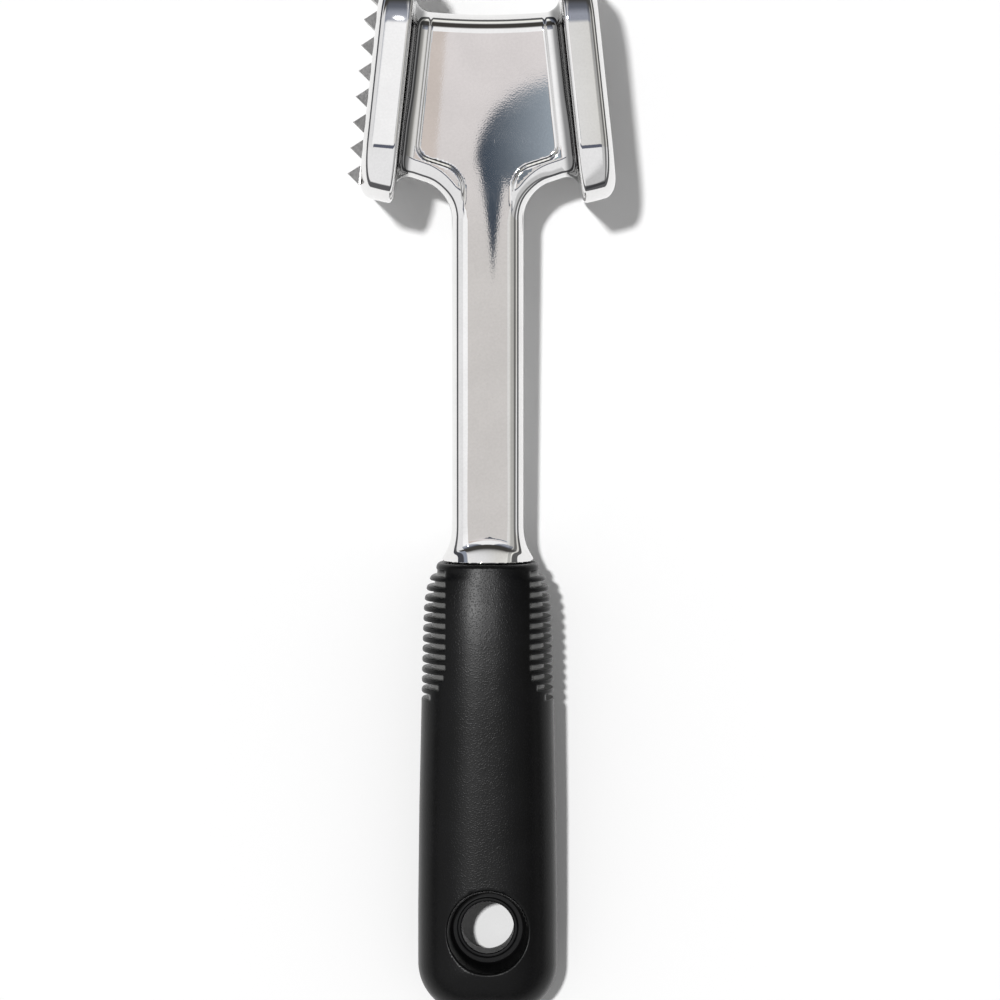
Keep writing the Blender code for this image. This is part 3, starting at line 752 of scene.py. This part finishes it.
def studio(tree):
    """What the polished metal sees: colours laid one over the other by direction. A direction's
    slopes are its way across and along the tool, each over its way up."""
    way = Value(tree).add("ShaderNodeTexCoord", output="Generated")
    split = way.add("ShaderNodeSeparateXYZ", (), {0: way})
    x, y, z = [Value(tree, split.socket.node.outputs[k]) for k in range(3)]
    up = z.math("MAXIMUM", z, 0.02)
    across = x / up
    along = y / up
    side = across.math("ABSOLUTE", across)

    colour = across.step(-0.2, 0.5).blend((0.86, 0.86, 0.87, 1), (0.74, 0.73, 0.70, 1))
    near_light = along.step(-0.17, -0.20)
    colour = near_light.blend(colour, (0.90, 0.90, 0.91, 1))
    ceiling = side.step(0.075, 0.060) * between(along, -0.150, 0.020, 0.006)
    plaster = along.step(-0.09, -0.04).blend((0.69, 0.665, 0.65, 1), (0.80, 0.76, 0.76, 1))
    colour = ceiling.blend(colour, plaster)
    beige = (across - along * 0.28).step(-0.0202, -0.0232) * ceiling
    colour = beige.blend(colour, (0.67, 0.60, 0.56, 1))
    soft_light = between(across, -0.75, -0.085, 0.02) * between(along, -0.14, 0.55, 0.03)
    colour = soft_light.blend(colour, (1.05, 1.05, 1.06, 1))
    far_light = between(along, 0.01, 0.50, 0.02) * side.step(0.10, 0.07)
    colour = far_light.blend(colour, (1.02, 1.02, 1.03, 1))
    far_haze = between(along, 0.05, 0.66, 0.05) * between(side, 0.08, 0.9, 0.02)
    haze = along.step(0.20, 0.42).blend((0.34, 0.36, 0.42, 1), (0.13, 0.14, 0.17, 1))
    colour = far_haze.blend(colour, haze)
    far_dark = along.step(0.40, 0.66) * along.step(1.85, 1.35) * side.step(2.6, 1.8)
    colour = far_dark.blend(colour, (0.055, 0.052, 0.048, 1))
    far_window = along.step(1.8, 2.2)
    colour = far_window.blend(colour, (1.0, 1.0, 0.95, 1))
    cloth = across.step(-1.0, -1.3) * along.step(1.0, 1.3)
    colour = cloth.blend(colour, (0.30, 0.33, 0.40, 1))
    near_line = between(along, -0.225, -0.150, 0.008) * side.step(0.55, 0.40)
    colour = near_line.blend(colour, (0.12, 0.13, 0.17, 1))
    right_dark = between(across, 0.42, 2.2, 0.10) * along.step(1.4, 0.9)
    right_dark = right_dark * 0.38 + between(across, 1.1, 2.0, 0.1) * side.step(3.0, 2.0) * 0.5
    colour = right_dark.blend(colour, (0.09, 0.09, 0.09, 1))

    # One dark thing over the web: a lobe on a narrow stem, paler to the right
    lobe_x = (across - 0.056) / 0.065
    lobe_y = along + 0.0600
    lobe_y = lobe_y.math("MAXIMUM", lobe_y / 0.0166, lobe_y / -0.0060)
    lobe = (lobe_x * lobe_x + lobe_y * lobe_y).step(1.10, 0.90)
    stem_share = (along + 0.0850) / 0.0197
    stem_share = stem_share.math("MAXIMUM", stem_share, 0.0)
    stem_width = stem_share * stem_share * 0.0030 + stem_share * 0.0046
    aside = across - 0.0036
    stem = (aside.math("ABSOLUTE", aside) - stem_width).step(0.0008, -0.0008)
    stem = stem * between(along, -0.086, -0.058, 0.001)
    spot = lobe.math("MAXIMUM", lobe, stem)
    slate = across.step(-0.02, 0.09) * (along.step(-0.078, -0.056) * 0.9 + 0.1)
    slate = slate.blend((0.035, 0.050, 0.075, 1), (0.50, 0.57, 0.64, 1))
    colour = spot.blend(colour, slate)

    horizon = between(z, 0.0, 0.27, 0.03)
    colour = (horizon * 0.92).blend(colour, (0.045, 0.045, 0.05, 1))
    return z.step(0.001, -0.001).blend(colour, (0.95, 0.95, 0.95, 1))


def light_the_scene():
    """A world that lights evenly, shows white to the camera and the studio to reflections."""
    world = bpy.data.worlds.new("studio")
    world.use_nodes = True
    bpy.context.scene.world = world
    tree = world.node_tree
    light_path = Value(tree).add("ShaderNodeLightPath")
    rays = {name: Value(tree, light_path.socket.node.outputs[name])
            for name in ("Is Camera Ray", "Is Glossy Ray", "Is Transmission Ray")}
    seen_in = (rays["Is Glossy Ray"], rays["Is Transmission Ray"])
    reflected = seen_in[0].math("MAXIMUM", *seen_in)
    plain = rays["Is Camera Ray"].blend((fill_level,) * 3 + (1,), (1, 1, 1, 1))
    reflected.blend(plain, studio(tree)).feed(tree.nodes["Background"], "Color")


light_the_scene()

# The camera
# It looks straight down from above the shaft, and the frame cuts off both ends of the mallet.
camera_place = (0.0015, 0.0, 1.218)
camera_shift = (0.011, -0.010)   # of the frame's middle, in frame widths
sensor_width = 36.0
photo_width = 0.2444         # what the photograph is wide, at the height of the tool's middle
middle_height = 0.018

camera_data = bpy.data.cameras.new("camera")
camera_data.sensor_width = sensor_width
camera_data.lens = sensor_width * (camera_place[2] - middle_height) / photo_width
camera_data.shift_x, camera_data.shift_y = camera_shift
camera = bpy.data.objects.new("camera", camera_data)
camera.location = camera_place
bpy.context.scene.collection.objects.link(camera)
bpy.context.scene.camera = camera
bpy.context.scene.view_settings.view_transform = "Standard"
